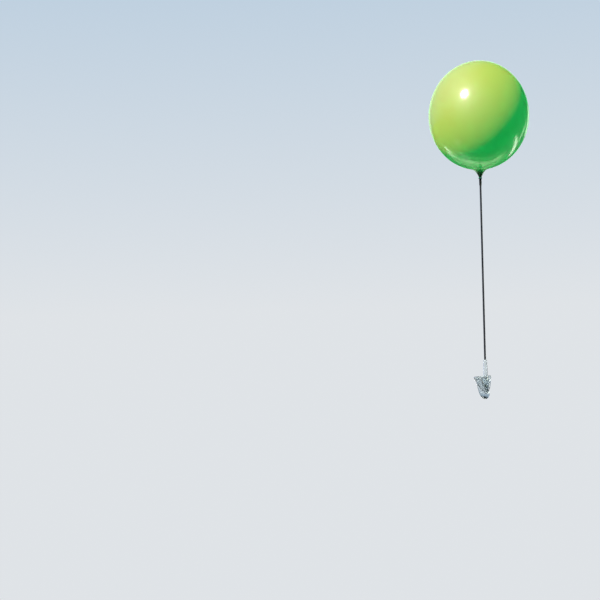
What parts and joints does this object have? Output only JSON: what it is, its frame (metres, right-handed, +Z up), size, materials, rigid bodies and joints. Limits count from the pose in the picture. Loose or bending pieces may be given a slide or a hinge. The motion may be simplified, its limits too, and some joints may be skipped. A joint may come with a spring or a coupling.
{
  "type": "car window balloon display",
  "caption": "Inflated vinyl balloon on an upright hollow rod, held by a clear clip that hooks over the top edge of a car's side window.",
  "frame": {"origin": "middle of the underside of the clip's bridge, where the window glass's top edge bears", "axes": "+Z up along the rod, +X along the window's top edge, +Y into the car"},
  "size_m": [0.367, 0.367, 1.2439],
  "materials": {
    "clear_plastic": "clear moulded polycarbonate with lightly scuffed faces",
    "steel": "zinc-plated pan-head screw",
    "black_tube": "satin black pultruded fibreglass tube",
    "black_plastic": "plain black moulded plastic",
    "pale_plastic": "pale grey-green soft plastic",
    "green_vinyl": "glossy translucent lime-green vinyl"
  },
  "bodies": {
    "clip": {"clip_outer_plate": "clear_plastic", "clip_bridge": "clear_plastic", "clip_inner_tongue": "clear_plastic", "rod_post": "clear_plastic", "post_screw": "steel"},
    "rod": {"rod": "black_tube"},
    "balloon": {"ferrule": "black_plastic", "valve_plug": "pale_plastic", "balloon": "green_vinyl"}
  },
  "joints": [
    {"name": "rod_lift", "type": "slide", "parent": "clip", "child": "rod", "axis": [0, 0, 1], "range_m": [0, 0.04]},
    {"name": "balloon_swivel", "type": "hinge", "parent": "rod", "child": "balloon", "pos_m": [0, -0.019, 0.717], "axis": [0, 0, 1], "continuous": true}
  ]
}
